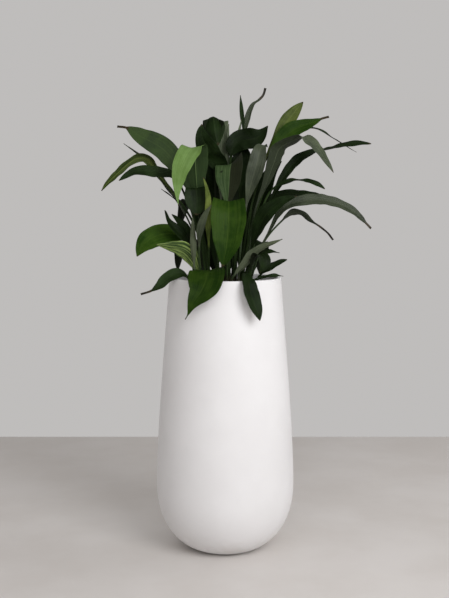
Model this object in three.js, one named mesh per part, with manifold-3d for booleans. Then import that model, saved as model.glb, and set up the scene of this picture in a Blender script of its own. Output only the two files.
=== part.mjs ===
// A cast iron plant (aspidistra) growing in a tall white planter.
// Millimetres, +Z up. The origin is the middle of the planter's foot, on the floor,
// and -Y is the front. Every leaf is one piece with its stalk and stands in its own
// hole in the soil.

import * as THREE from 'three';
import * as BufferGeometryUtils from 'three/addons/utils/BufferGeometryUtils.js';
import Module from 'manifold-3d';

const wasm = await Module();
wasm.setup();

// ---- driving dimensions ----------------------------------------------------------

// planter: a tall turned shape, widest low down, with a plain thin rim
const POT_HEIGHT = 785;
const RIM_RADIUS = 159;
const BELLY_RADIUS = 198;
const BELLY_HEIGHT = 186;
const FOOT_RADIUS = 80;
const WALL = 11;
const RIM_ROUND = 3;
const POT_FLOOR = 18;
const POT_SIDES = 40;
const HOLE_SIDES = 6;

// soil
const SOIL_HEIGHT = POT_HEIGHT - 25;
const SOIL_MOUND = 5;
const SOIL_UNEVEN = 1.5;
const FIT_GAP = 0.3;
const SOIL_GAP = 0.7;

// stalks and blades
const STALK_RADIUS = 3.2;
const ROOT_DEPTH = 25;
const COLLAR_HEIGHT = 12;
const BLADE_THICKNESS = 1.2;
const TIP_WIDTH = 2.4;
const TAIL_WIDTH = 7;
const FOLD = 14;
const WAVE = 1.5;
const WAVES = 2; // waves along an edge
const PEAK = 0.48;
const BASE_SLIMNESS = 1.25;
const TIP_SLIMNESS = 0.85;
const OPENING = 0.15; // part of the blade's length over which the stalk flattens out
const RIB_END = 0.625; // part of the blade's length at which the midrib is level with the blade

// ---- the leaves ------------------------------------------------------------------

// root: where the stalk leaves the soil [x, y].
// spine: points that the midrib passes through, from above the soil to the tip; their
//        heights are measured from the planter's rim.
// blade: the spine point at which the blade starts; the stalk ends there.
// width: of the blade at its widest, which lies at the part `peak` of its length.
// roll: turn of the blade about its midrib in degrees, from base to tip; positive lifts
//       the left edge as seen when looking out along the leaf.
// taper: how fast the blade narrows to its tip; below 1 it stays full, above 1 it is drawn out.
// heading: compass direction of the arch in degrees from +X; root to tip if not given.
// tail: length of a thin dried end past the blade.
// fold: angle in degrees that each half of the blade rises from the midrib; wave: height of
//       the waves along its edges.
const LEAVES = [
  // front: over the rim, and hanging down the face of the plant
  { root: [5, -75], blade: 1, width: 96, peak: 0.6, heading: -90, tone: 'green',
    spine: [[6, -78, 80], [8, -84, 175], [9, -108, 216], [9, -130, 190], [8, -140, 150],
      [4, -147, 100], [-7, -152, 39]] },
  { root: [-30, -55], blade: 1, width: 100, peak: 0.42, taper: 1.7, heading: -98, fold: 8,
    roll: [8, 8, 0, 0, 0], tone: 'green',
    spine: [[-35, -75, 13], [-44, -108, 27], [-48, -145, 24], [-54, -174, -2], [-67, -185, -29],
      [-81, -190, -47], [-91, -192, -65], [-98, -193, -83], [-107, -194, -99]] },
  { root: [42, -92], blade: 1, width: 48, peak: 0.52, taper: 0.7, tone: 'dark',
    spine: [[48, -112, 15], [55, -138, 18], [61, -158, 0], [68, -170, -30], [76, -178, -55],
      [85, -183, -78], [93, -186, -103]] },
  { root: [-45, -50], blade: 1.8, width: 72, peak: 0.5, taper: 1.3, fold: 0, heading: -98,
    roll: [0, 0, 12, 8, 0], tone: 'bright',
    spine: [[-60, -64, 100], [-72, -76, 200], [-79, -88, 280], [-82, -98, 335], [-86, -111, 360],
      [-101, -122, 345], [-113, -129, 320], [-121, -133, 298], [-127, -136, 262],
      [-129, -137, 230], [-126, -137, 202]] },
  { root: [-52, -72], blade: 1.2, width: 68, peak: 0.75, taper: 0.7, heading: -90, tone: 'dark',
    spine: [[-64, -80, 100], [-74, -86, 200], [-80, -97, 253], [-77, -109, 220], [-78, -115, 177]] },
  { root: [14, -42], blade: 1.5, width: 90, peak: 0.7, heading: 90, roll: [0, 0, -30, -34],
    fold: 12, tone: 'halved',
    spine: [[8, -48, 100], [5, -52, 180], [9, -54, 240], [12, -54, 288], [15, -50, 312],
      [18, -43, 320], [24, -36, 308], [30, -33, 290], [35, -32, 270]] },
  { root: [36, -60], blade: 1.8, width: 48, peak: 0.6, heading: 90, tone: 'slate',
    spine: [[44, -60, 100], [58, -60, 200], [72, -60, 265], [87, -58, 318], [97, -50, 358],
      [106, -38, 370], [118, -24, 366]] },
  { root: [-46, -62], blade: 1, width: 20, heading: 180, roll: [-70], tone: 'olive',
    spine: [[-45, -92, 90], [-48, -120, 170], [-46, -129, 212], [-50, -134, 248], [-59, -138, 279]] },
  { root: [-60, -84], blade: 2, width: 22, heading: 60, roll: [40], tone: 'slate',
    spine: [[-70, -90, 30], [-71, -108, 90], [-69, -128, 135], [-54, -138, 180], [-37, -144, 205]] },
  { root: [-74, -96], blade: 1, width: 18, heading: -90, tone: 'pale',
    spine: [[-84, -104, 30], [-87, -112, 90], [-88, -116, 130], [-89, -118, 175]] },

  // left side
  { root: [-40, -8], blade: 1.8, width: 66, peak: 0.6, taper: 0.6, roll: [-65], tail: 27,
    tone: 'green',
    spine: [[-58, -4, 100], [-85, 2, 210], [-120, 8, 288], [-156, 14, 340], [-182, 20, 366],
      [-213, 26, 384], [-239, 31, 398], [-261, 35, 412], [-281, 38, 423], [-308, 42, 427]] },
  { root: [-44, 38], blade: 2.4, width: 33, peak: 0.55, taper: 0.7, roll: [-40, -60], fold: 8,
    tone: 'streaked',
    spine: [[-76, 42, 120], [-117, 44, 198], [-148, 46, 236], [-177, 48, 273], [-203, 50, 307],
      [-226, 51, 335], [-250, 52, 337], [-274, 53, 325], [-295, 54, 308], [-317, 55, 288],
      [-340, 56, 266], [-357, 57, 245]] },
  { root: [-62, 54], blade: 1.4, width: 17, peak: 0.4, roll: [-40], tone: 'slate',
    spine: [[-98, 64, 140], [-150, 72, 232], [-206, 80, 302], [-234, 84, 337], [-262, 87, 358],
      [-295, 90, 382]] },
  { root: [-52, -40], blade: 2, width: 33, peak: 0.55, taper: 0.7, roll: [-65], tone: 'dark',
    spine: [[-78, -40, 140], [-112, -44, 232], [-136, -48, 277], [-152, -50, 289], [-170, -51, 293],
      [-201, -53, 296], [-229, -54, 299], [-251, -56, 297], [-272, -58, 286], [-294, -60, 272]] },
  { root: [-44, 10], blade: 1.5, width: 12, roll: [-20], tone: 'dark',
    spine: [[-70, 6, 100], [-100, 4, 170], [-138, 2, 216], [-181, 0, 250]] },
  { root: [-84, -46], blade: 1, width: 34, taper: 0.65, roll: [-60], tone: 'dark',
    spine: [[-92, -60, 50], [-101, -71, 85], [-115, -78, 115], [-136, -83, 137], [-157, -86, 162],
      [-166, -88, 191]] },
  { root: [-74, -34], blade: 1, width: 32, taper: 0.7, roll: [-60], tone: 'dark',
    spine: [[-84, -44, 60], [-97, -47, 95], [-108, -49, 132], [-127, -50, 157], [-149, -50, 179]] },
  { root: [-62, -22], blade: 1.2, width: 68, peak: 0.6, roll: [-60], fold: 6, tone: 'green',
    spine: [[-80, -26, 60], [-96, -32, 98], [-110, -36, 114], [-128, -40, 121], [-160, -46, 125],
      [-196, -52, 116], [-220, -56, 102], [-234, -58, 85], [-246, -60, 62]] },
  { root: [-68, -74], blade: 0.7, width: 56, peak: 0.42, roll: [50], fold: 6, tone: 'striped',
    spine: [[-74, -78, 22], [-83, -81, 41], [-94, -86, 61], [-111, -90, 78], [-131, -94, 87],
      [-159, -97, 92], [-190, -99, 97]] },
  { root: [-94, -58], blade: 0.5, width: 38, peak: 0.48, roll: [-50], tail: 28, tone: 'dark',
    spine: [[-104, -66, 3], [-118, -72, 13], [-136, -77, 14], [-158, -82, 4], [-181, -87, -17],
      [-205, -91, -32], [-233, -95, -41]] },

  // crown
  { root: [-18, -2], blade: 1.6, width: 62, peak: 0.78, heading: -90, fold: -36, tone: 'dark',
    spine: [[-22, -4, 100], [-28, -5, 250], [-32, -8, 390], [-33, -22, 450], [-31, -38, 428],
      [-27, -47, 398], [-20, -52, 368]] },
  { root: [-8, -18], blade: 2.3, width: 62, peak: 0.58, heading: 90, tone: 'dark',
    spine: [[2, -14, 120], [8, -14, 218], [1, -15, 273], [-12, -20, 311], [-27, -36, 336],
      [-42, -58, 352], [-55, -69, 371], [-63, -74, 390], [-66, -76, 408], [-64, -77, 425]] },
  { root: [-8, 26], blade: 1.2, width: 40, peak: 0.55, heading: 90, tone: 'pale',
    spine: [[-10, 26, 150], [-13, 28, 350], [-9, 30, 400], [-7, 36, 440], [-4, 56, 438],
      [-2, 76, 410], [0, 86, 384]] },
  { root: [4, 12], blade: 1.4, width: 12, heading: 90, tone: 'pale',
    spine: [[4, 17, 200], [6, 19, 350], [10, 19, 432]] },
  { root: [12, -5], blade: 3.4, width: 68, peak: 0.42, heading: 0, roll: [70], wave: 7, tone: 'dark',
    spine: [[13, 0, 100], [15, 4, 250], [14, 6, 322], [20, 6, 357], [36, 6, 379], [59, 6, 387],
      [82, 5, 391], [102, 3, 402], [120, 0, 426]] },
  { root: [30, 25], blade: 2.8, width: 13, peak: 0.5, heading: 90, tone: 'dark',
    spine: [[38, 30, 200], [47, 32, 320], [51, 34, 422], [47, 35, 465], [43, 35, 514]] },
  { root: [26, 42], blade: 2.6, width: 17, peak: 0.5, heading: 0, roll: [70], tail: 34, tone: 'slate',
    spine: [[36, 45, 200], [49, 47, 330], [58, 49, 420], [64, 50, 450], [71, 51, 474],
      [81, 53, 492], [96, 56, 503], [109, 58, 517], [115, 60, 537]] },
  { root: [20, 20], blade: 1, width: 16, heading: 90, tone: 'pale',
    spine: [[28, 24, 250], [34, 27, 380], [46, 28, 446]] },

  // right side
  { root: [40, 14], blade: 2.3, width: 42, peak: 0.7, taper: 0.8, roll: [70], tone: 'olive',
    spine: [[62, 22, 140], [90, 28, 260], [122, 36, 352], [156, 44, 408], [176, 50, 440],
      [199, 56, 470], [223, 62, 498]] },
  { root: [44, 0], blade: 2, width: 50, peak: 0.62, roll: [65], tail: 20, tone: 'green',
    spine: [[74, 3, 140], [110, 6, 250], [124, 8, 296], [134, 10, 332], [145, 12, 360],
      [158, 14, 382], [174, 16, 401], [192, 18, 415], [212, 20, 424], [233, 21, 431],
      [254, 22, 439], [275, 24, 448], [294, 26, 453]] },
  { root: [50, 32], blade: 1.6, width: 20, roll: [15], tone: 'dark',
    spine: [[88, 44, 260], [135, 56, 362], [195, 68, 412], [258, 76, 424], [311, 80, 397],
      [362, 83, 367], [381, 84, 357]] },
  { root: [56, -22], blade: 0.9, width: 60, peak: 0.56, taper: 0.75, fold: 4, heading: -50,
    tone: 'slate',
    spine: [[84, -26, 190], [116, -30, 270], [135, -34, 322], [151, -38, 361], [185, -44, 381],
      [217, -52, 392], [238, -60, 376], [256, -68, 356], [277, -80, 324], [296, -90, 293]] },
  { root: [60, -8], blade: 1.5, width: 31, taper: 0.5, roll: [60, 60, 60, 60, 50, 14, 20, 50, 60],
    tone: 'dark',
    spine: [[87, -10, 140], [134, -9, 228], [179, -3, 304], [210, 1, 335], [247, 5, 352],
      [292, 8, 361], [337, 10, 372], [377, 12, 378], [413, 14, 377]] },
  { root: [66, -42], blade: 1.9, width: 22, taper: 0.5, roll: [60, 45, 8, 50, 60], tone: 'dark',
    spine: [[92, -46, 160], [126, -50, 243], [156, -50, 262], [188, -50, 272], [235, -50, 269],
      [256, -50, 262], [277, -50, 249]] },
  { root: [64, -30], blade: 1.3, width: 34, peak: 0.58, taper: 0.5, roll: [60], tail: 18,
    tone: 'slate',
    spine: [[86, -29, 62], [109, -28, 103], [134, -28, 150], [145, -27, 172], [164, -27, 195],
      [184, -26, 208], [216, -26, 216], [244, -25, 219], [268, -25, 219], [300, -24, 213],
      [332, -22, 202], [364, -20, 184], [395, -18, 155], [411, -17, 138]] },
  { root: [54, 20], blade: 1.2, width: 30, roll: [50], tone: 'dark',
    spine: [[90, 24, 145], [129, 28, 218], [168, 30, 234], [218, 32, 235], [265, 34, 231],
      [299, 36, 221]] },
  { root: [52, -58], blade: 1, width: 54, roll: [55], tone: 'dark',
    spine: [[72, -66, 80], [92, -72, 138], [112, -76, 177], [137, -78, 200], [162, -80, 217],
      [196, -80, 229]] },
  { root: [70, -8], blade: 2, width: 22, peak: 0.4, roll: [-50], tail: 60, tone: 'slate',
    spine: [[110, -5, 100], [158, -4, 158], [192, -3, 183], [217, -2, 180], [241, 0, 161],
      [270, 2, 142], [291, 4, 125], [307, 6, 105]] },
  { root: [12, -96], blade: 1, width: 30, peak: 0.35, roll: [-60], tone: 'pale',
    spine: [[24, -100, 12], [48, -98, 36], [66, -94, 58], [84, -90, 76], [106, -86, 90],
      [134, -82, 101], [158, -78, 111]] },
  { root: [56, -70], blade: 1, width: 20, roll: [30], tone: 'dark',
    spine: [[74, -66, 47], [97, -62, 71], [122, -61, 75], [152, -60, 72]] },
  { root: [66, -84], blade: 0.6, width: 46, peak: 0.6, tone: 'dark',
    spine: [[74, -96, 46], [89, -107, 70], [102, -116, 64], [104, -122, 42], [94, -124, 22]] },
  { root: [84, -52], blade: 1, width: 20, taper: 0.6, roll: [60], tone: 'dark',
    spine: [[95, -52, 6], [112, -52, 22], [138, -52, 38], [156, -53, 47], [173, -54, 53]] },
  { root: [62, -108], blade: 1, width: 13, roll: [45], tone: 'dark',
    spine: [[74, -106, -4], [92, -100, 4], [114, -90, 8], [138, -76, 10], [162, -58, 7]] },
  { root: [60, 44], blade: 0.5, width: 66, roll: [60], tone: 'dark',
    spine: [[76, 56, 150], [104, 62, 235], [132, 66, 295], [163, 68, 330]] },

  // back
  { root: [0, 60], blade: 0.2, width: 85, peak: 0.38, heading: 90, tone: 'dark',
    spine: [[0, 84, 150], [4, 122, 300], [6, 168, 345], [8, 230, 320], [10, 300, 240]] },
  { root: [25, 70], blade: 0.3, width: 70, peak: 0.4, tone: 'dark',
    spine: [[32, 90, 130], [44, 120, 230], [62, 170, 278], [84, 235, 250], [105, 300, 175]] },
  { root: [-22, 72], blade: 0.2, width: 75, peak: 0.38, tone: 'dark',
    spine: [[-30, 90, 150], [-42, 125, 250], [-58, 175, 290], [-78, 235, 260], [-95, 290, 185]] },
  { root: [50, 62], blade: 0.3, width: 60, peak: 0.4, tone: 'dark',
    spine: [[62, 80, 100], [78, 105, 200], [96, 140, 245], [112, 180, 220], [124, 215, 160]] },
  { root: [-50, 54], blade: 0.4, width: 56, peak: 0.52, tone: 'dark',
    spine: [[-64, 68, 100], [-84, 90, 185], [-105, 118, 215], [-124, 148, 185], [-138, 176, 130]] },
  { root: [10, 98], blade: 0.3, width: 80, peak: 0.4, tone: 'dark',
    spine: [[14, 116, 60], [18, 145, 115], [22, 185, 125], [27, 230, 90], [30, 262, 20]] },
  { root: [-30, 95], blade: 0.3, width: 72, peak: 0.4, tone: 'dark',
    spine: [[-38, 112, 50], [-50, 142, 90], [-60, 180, 90], [-68, 215, 50], [-72, 240, -10]] },
  { root: [45, 86], blade: 0.3, width: 62, peak: 0.4, tone: 'dark',
    spine: [[56, 102, 40], [74, 130, 70], [92, 160, 65], [104, 190, 30], [110, 212, -20]] },
  { root: [-74, 66], blade: 0.6, width: 46, tone: 'dark',
    spine: [[-90, 78, 45], [-110, 96, 85], [-125, 116, 85], [-136, 134, 50], [-142, 148, 5]] },
  { root: [75, 56], blade: 0.3, width: 40, peak: 0.4, tone: 'dark',
    spine: [[86, 68, 40], [98, 82, 85], [110, 100, 95], [118, 116, 75], [122, 130, 40]] },
  { root: [20, 54], blade: 0.8, width: 56, tone: 'dark',
    spine: [[26, 63, 150], [36, 72, 280], [46, 84, 335], [56, 100, 345], [66, 118, 330]] },
  { root: [-25, 40], blade: 0.2, width: 60, peak: 0.36, tone: 'dark',
    spine: [[-28, 46, 150], [-34, 58, 300], [-44, 85, 390], [-56, 125, 385], [-70, 170, 325]] },
  { root: [24, 8], blade: 0.6, width: 76, peak: 0.66, heading: 90, tone: 'dark',
    spine: [[34, 15, 150], [42, 20, 250], [48, 23, 330], [50, 25, 384]] },
  { root: [2, 40], blade: 0.3, width: 40, heading: 90, tone: 'dark',
    spine: [[3, 42, 60], [4, 44, 120], [5, 46, 180]] },
];

// ---- colours ---------------------------------------------------------------------

const LEAF_TONES = {
  dark: 0x1c2b14,
  green: 0x33481c,
  bright: 0x6f9a4c,
  olive: 0x4f5c26,
  pale: 0x76866a,
  striped: 0x6f8a3a,
  streaked: 0x3c4f20,
  slate: 0x3f4d38,
  halved: 0x35482a,
};
const POT_COLOUR = 0xe8e6e7;
const SOIL_COLOUR = 0x1d1813;

// ---- solids ----------------------------------------------------------------------

function toManifold(geometry) {
  const bare = geometry.clone();
  bare.deleteAttribute('normal');
  bare.deleteAttribute('uv');
  const merged = BufferGeometryUtils.mergeVertices(bare, 1e-3);
  return new wasm.Manifold(new wasm.Mesh({
    numProp: 3,
    vertProperties: new Float32Array(merged.attributes.position.array),
    triVerts: new Uint32Array(merged.index.array),
  }));
}

function fromManifold(solid) {
  const { vertProperties, triVerts } = solid.getMesh();
  const geometry = new THREE.BufferGeometry();
  geometry.setAttribute('position', new THREE.BufferAttribute(vertProperties, 3));
  geometry.setIndex(new THREE.BufferAttribute(triVerts, 1));
  geometry.computeVertexNormals();
  return geometry;
}

function named(name, geometry, color, roughness) {
  const mesh = new THREE.Mesh(geometry, new THREE.MeshStandardMaterial({ color, roughness, metalness: 0 }));
  mesh.name = name;
  return mesh;
}

// ---- planter and soil ------------------------------------------------------------

// the outside of the planter, from the edge of its foot to its rim, as [radius, height]
function outerCurve() {
  const curve = new THREE.CurvePath();
  curve.add(new THREE.CubicBezierCurve(
    new THREE.Vector2(FOOT_RADIUS, 0),
    new THREE.Vector2(FOOT_RADIUS + 51, 9),
    new THREE.Vector2(BELLY_RADIUS, 67),
    new THREE.Vector2(BELLY_RADIUS, BELLY_HEIGHT),
  ));
  curve.add(new THREE.CubicBezierCurve(
    new THREE.Vector2(BELLY_RADIUS, BELLY_HEIGHT),
    new THREE.Vector2(BELLY_RADIUS, BELLY_HEIGHT + 138),
    new THREE.Vector2(RIM_RADIUS + 18, POT_HEIGHT - 233),
    new THREE.Vector2(RIM_RADIUS, POT_HEIGHT),
  ));
  return curve;
}

const OUTSIDE = [
  ...outerCurve().curves[0].getPoints(7),
  ...outerCurve().curves[1].getPoints(6).slice(1),
];

// radius of the planter's outside at a height
function outerRadius(height) {
  const above = OUTSIDE.findIndex((point) => point.y >= height);
  const [low, high] = [OUTSIDE[above - 1], OUTSIDE[above]];
  return THREE.MathUtils.mapLinear(height, low.y, high.y, low.x, high.x);
}

// points of the inside wall between two heights, upwards, set in by `inset` from the outside;
// it takes every other point of the outside, so that the planter and the soil share them
function insideWall(inset, bottom, top) {
  const between = OUTSIDE.filter((point, i) => i % 2 === 1 && point.y > bottom + 5 && point.y < top - 5);
  return [
    new THREE.Vector2(outerRadius(bottom) - inset, bottom),
    ...between.map((point) => new THREE.Vector2(point.x - inset, point.y)),
    new THREE.Vector2(outerRadius(top) - inset, top),
  ];
}

function turned(profile) {
  const geometry = new THREE.LatheGeometry(profile, POT_SIDES);
  geometry.rotateX(Math.PI / 2);
  return geometry;
}

function makePot() {
  const outside = OUTSIDE.slice(0, -1);
  const inside = insideWall(WALL, POT_FLOOR, POT_HEIGHT - RIM_ROUND).reverse();
  const profile = [
    new THREE.Vector2(0, 0),
    ...outside,
    new THREE.Vector2(RIM_RADIUS, POT_HEIGHT - RIM_ROUND),
    new THREE.Vector2(RIM_RADIUS - RIM_ROUND, POT_HEIGHT),
    new THREE.Vector2(RIM_RADIUS - WALL + RIM_ROUND, POT_HEIGHT),
    ...inside,
    new THREE.Vector2(0, POT_FLOOR),
  ];
  return turned(profile);
}

function soilTop(radius, angle) {
  const mound = SOIL_MOUND * (1 - (radius / RIM_RADIUS) ** 2);
  const uneven = SOIL_UNEVEN * Math.sin(3 * angle + radius / 17) * Math.sin(radius / 23);
  return SOIL_HEIGHT + mound + uneven;
}

function makeSoil() {
  const wall = insideWall(WALL + SOIL_GAP, POT_FLOOR + FIT_GAP, SOIL_HEIGHT);
  const rim = wall.at(-1).x;
  const top = [0.8, 0.55, 0.3, 0].map((part) => new THREE.Vector2(rim * part, SOIL_HEIGHT));
  const geometry = turned([new THREE.Vector2(0, POT_FLOOR + FIT_GAP), ...wall, ...top]);
  const position = geometry.attributes.position;
  for (let i = 0; i < position.count; i += 1) {
    const radius = Math.hypot(position.getX(i), position.getY(i));
    if (position.getZ(i) > SOIL_HEIGHT - 1) {
      const angle = radius > 1 ? Math.atan2(position.getY(i), position.getX(i)) : 0;
      position.setZ(i, soilTop(radius, angle));
    }
  }
  const holes = LEAVES.map((leaf) => {
    const radius = (STALK_RADIUS + FIT_GAP) / Math.cos(Math.PI / HOLE_SIDES);
    const height = 2 * ROOT_DEPTH;
    const hole = new THREE.CylinderGeometry(radius, radius, height, HOLE_SIDES);
    hole.rotateX(Math.PI / 2);
    hole.translate(leaf.root[0], leaf.root[1], SOIL_HEIGHT - ROOT_DEPTH - FIT_GAP + height / 2);
    return toManifold(hole);
  });
  return fromManifold(holes.reduce((soil, hole) => soil.subtract(hole), toManifold(geometry)));
}

// ---- leaf ------------------------------------------------------------------------

const STALK_STEPS = 3;
const BLADE_STEPS = 13;
const TAIL_STEPS = 2;
const SPAN_DIVISIONS = 40;
const UP = new THREE.Vector3(0, 0, 1);

// share of the full width at the part t of the blade's length: it opens slowly from the
// stalk and closes in a fuller curve to the tip
function bladeShape(t, peak, taper) {
  const place = t ** (Math.log(0.5) / Math.log(peak));
  return Math.sin(Math.PI * place) ** (place < 0.5 ? BASE_SLIMNESS : taper);
}

// value at the part t along a list that is spread evenly over 0..1
function along(list, t) {
  const place = t * (list.length - 1);
  const i = Math.min(Math.floor(place), list.length - 2);
  return list.length === 1 ? list[0] : THREE.MathUtils.lerp(list[i], list[i + 1], place - i);
}

// one ring of a leaf: three points across its upper face and three across its lower one
function ring(centre, side, normal, section) {
  const columns = [-1, 0, 1].map((column) => centre.clone()
    .addScaledVector(side, column * section.half)
    .addScaledVector(normal, Math.abs(column) * section.lift + column * section.wave));
  const half = [section.edge, section.middle, section.edge];
  const upper = columns.map((point, i) => point.clone().addScaledVector(normal, half[i]));
  const lower = columns.map((point, i) => point.clone().addScaledVector(normal, -half[i]));
  return [...upper, ...lower];
}

// closed skin over a row of rings, with the same diagonals on its upper and lower faces
function skin(rings) {
  const index = [];
  const quad = (a, b, c, d) => index.push(a, b, c, a, c, d);
  const quadBack = (a, b, c, d) => index.push(a, c, b, a, d, c);
  for (let i = 0; i + 1 < rings.length; i += 1) {
    const [near, far] = [6 * i, 6 * (i + 1)];
    for (const column of [0, 1]) {
      quad(near + column, far + column, far + column + 1, near + column + 1);
      quadBack(near + column + 3, far + column + 3, far + column + 4, near + column + 4);
    }
    quad(near + 3, far + 3, far, near);
    quadBack(near + 5, far + 5, far + 2, near + 2);
  }
  const last = 6 * (rings.length - 1);
  for (const column of [0, 1]) {
    quad(column, column + 1, column + 4, column + 3);
    quadBack(last + column, last + column + 1, last + column + 4, last + column + 3);
  }
  const geometry = new THREE.BufferGeometry().setFromPoints(rings.flat());
  geometry.setIndex(index);
  geometry.computeVertexNormals();
  return geometry;
}

function makeLeaf(leaf) {
  const { root, spine, blade, width, peak = PEAK, taper = TIP_SLIMNESS } = leaf;
  const { roll = [0], tail = 0, fold = FOLD, wave = WAVE } = leaf;
  const collar = new THREE.Vector3(root[0], root[1], SOIL_HEIGHT + COLLAR_HEIGHT);
  const points = [collar, ...spine.map(([x, y, z]) => new THREE.Vector3(x, y, POT_HEIGHT + z))];
  const tip = points.at(-1);
  const heading = leaf.heading === undefined
    ? Math.atan2(tip.y - root[1], tip.x - root[0])
    : THREE.MathUtils.degToRad(leaf.heading);
  const sideways = new THREE.Vector3(-Math.sin(heading), Math.cos(heading), 0);

  const curve = new THREE.CatmullRomCurve3(points, false, 'centripetal');
  curve.arcLengthDivisions = SPAN_DIVISIONS * (points.length - 1);
  const lengths = curve.getLengths();
  const total = lengths.at(-1);
  const bladeFrom = lengths[Math.round(SPAN_DIVISIONS * blade)] / total;
  const bladeTo = 1 - tail / total;

  const stalkSection = {
    half: STALK_RADIUS * Math.sin(Math.PI / 3),
    lift: 0,
    wave: 0,
    edge: STALK_RADIUS / 2,
    middle: STALK_RADIUS,
  };
  const bladeSection = (t) => {
    const full = width * bladeShape(t, peak, taper) / 2;
    const least = THREE.MathUtils.lerp(stalkSection.half, (tail > 0 ? TAIL_WIDTH : TIP_WIDTH) / 2, t);
    const half = Math.max(full, least);
    const flat = THREE.MathUtils.smoothstep(t, 0, OPENING);
    const rib = THREE.MathUtils.lerp(STALK_RADIUS, BLADE_THICKNESS / 2, Math.min(1, t / RIB_END));
    return {
      half,
      lift: half * Math.tan(THREE.MathUtils.degToRad(fold)) * flat,
      wave: wave * Math.sin(2 * WAVES * Math.PI * t + root[0]) * (half / width) * 2,
      edge: THREE.MathUtils.lerp(STALK_RADIUS / 2, BLADE_THICKNESS / 2, flat),
      middle: rib,
    };
  };

  const station = (part, t, section) => {
    const centre = curve.getPointAt(part);
    const forward = curve.getTangentAt(part);
    const side = sideways.clone().addScaledVector(forward, -forward.dot(sideways)).normalize();
    side.applyAxisAngle(forward, THREE.MathUtils.degToRad(along(roll, t)));
    return ring(centre, side, forward.clone().cross(side), section);
  };

  const rings = [collar.clone().setZ(SOIL_HEIGHT - ROOT_DEPTH), collar]
    .map((centre) => ring(centre, sideways, UP.clone().cross(sideways), stalkSection));
  for (let i = 1; i < STALK_STEPS; i += 1) {
    rings.push(station(bladeFrom * i / STALK_STEPS, 0, stalkSection));
  }
  for (let i = 0; i <= BLADE_STEPS; i += 1) {
    const t = i / BLADE_STEPS;
    rings.push(station(THREE.MathUtils.lerp(bladeFrom, bladeTo, t), t, bladeSection(t)));
  }
  if (tail > 0) {
    for (let i = 1; i <= TAIL_STEPS; i += 1) {
      rings.push(station(THREE.MathUtils.lerp(bladeTo, 1, i / TAIL_STEPS), 1, bladeSection(1)));
    }
  }
  return skin(rings);
}

// ---- the plant -------------------------------------------------------------------

const plant = new THREE.Group();
plant.add(named('pot', makePot(), POT_COLOUR, 0.45));
plant.add(named('soil', makeSoil(), SOIL_COLOUR, 0.95));
LEAVES.forEach((leaf, i) => {
  const name = `leaf_${String(i + 1).padStart(2, '0')}`;
  plant.add(named(name, makeLeaf(leaf), LEAF_TONES[leaf.tone], 0.4));
});

export default plant;
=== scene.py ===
"""The looks of a cast iron plant (aspidistra) in a tall white planter.

Each leaf is drawn again from the same midrib, width and roll as its solid, as a thin
pleated blade on a grooved stalk, with fine parallel veins and a dry tip. The planter is
turned smooth, and the soil gets an uneven top with loose crumbs.

Lengths are in millimetres until a mesh is made. -Y is the front.
"""

import math

import bmesh
import bpy
import numpy as np
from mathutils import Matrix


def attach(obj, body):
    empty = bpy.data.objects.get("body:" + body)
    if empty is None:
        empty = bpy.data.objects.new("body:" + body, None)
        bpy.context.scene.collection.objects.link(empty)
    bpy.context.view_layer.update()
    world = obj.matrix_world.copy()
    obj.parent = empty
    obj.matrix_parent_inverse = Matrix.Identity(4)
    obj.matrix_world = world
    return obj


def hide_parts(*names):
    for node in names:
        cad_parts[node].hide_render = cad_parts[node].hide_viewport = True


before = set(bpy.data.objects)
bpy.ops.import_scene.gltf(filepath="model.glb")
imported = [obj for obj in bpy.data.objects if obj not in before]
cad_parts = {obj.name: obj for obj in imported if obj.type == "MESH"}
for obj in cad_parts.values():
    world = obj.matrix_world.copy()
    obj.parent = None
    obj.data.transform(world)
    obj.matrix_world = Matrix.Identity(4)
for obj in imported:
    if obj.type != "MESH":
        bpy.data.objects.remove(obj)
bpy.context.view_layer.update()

MM = 0.001
BODY = "root"

# ---- driving dimensions, as in the part's source ---------------------------------

POT_HEIGHT = 785
RIM_RADIUS = 159
BELLY_RADIUS = 198
BELLY_HEIGHT = 186
FOOT_RADIUS = 80
WALL = 11
RIM_ROUND = 3
POT_FLOOR = 18

SOIL_HEIGHT = POT_HEIGHT - 25
SOIL_MOUND = 5
SOIL_GAP = 0.7
FLOOR_GAP = 0.3

STALK_RADIUS = 3.2
ROOT_DEPTH = 25
COLLAR_HEIGHT = 12
TIP_WIDTH = 2.4
TAIL_WIDTH = 7
FOLD = 14
WAVE = 1.5
WAVES = 2  # waves along an edge
PEAK = 0.48
BASE_SLIMNESS = 1.25
TIP_SLIMNESS = 0.85
OPENING = 0.15  # part of the blade's length over which the stalk flattens out
SPAN_DIVISIONS = 40

# ---- finer forms that only the looks have ----------------------------------------

BLADE_HALF = 0.36  # half the thickness of the blade
EDGE_HALF = 0.12
RIB_WIDTH = 2.4
RIB_DEPTH = 0.5  # how far the midrib stands out below, near the tip
RIB_THINNING = 1.6  # how fast the midrib thins along the blade
GROOVE_DEPTH = 0.35
GROOVE_WIDTH = 0.6 * RIB_WIDTH
PLEAT_WIDTH = 9
PLEAT_HEIGHT = 0.4
RIPPLE_LENGTH = 42  # short ripples near the edges
RIPPLE_HEIGHT = 1.3
UNEVENNESS = ((0.025, 23), (0.015, 9))  # share of the width, and length of one radian

STALK_WIDTH = 0.92  # half width of the stalk as a share of its radius
STALK_UPPER = 0.45  # how round the stalk is above, as a share of how round it is below
STALK_HALF = 0.1  # least half thickness of the stalk, at its edges
SHEATH_SWELL = 0.3  # how much a stalk thickens at the soil
SHEATH_HEIGHT = 26

STALK_STEP = 12  # between the sections of the stalk, and of the blade and tail
STATION_STEP = 5
MIN_STALK, MIN_BLADE, MIN_TAIL = 3, 12, 2  # fewest sections of each
COLUMN_STEP = 2.6  # between points across the blade
MIN_COLUMNS = 9

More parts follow.
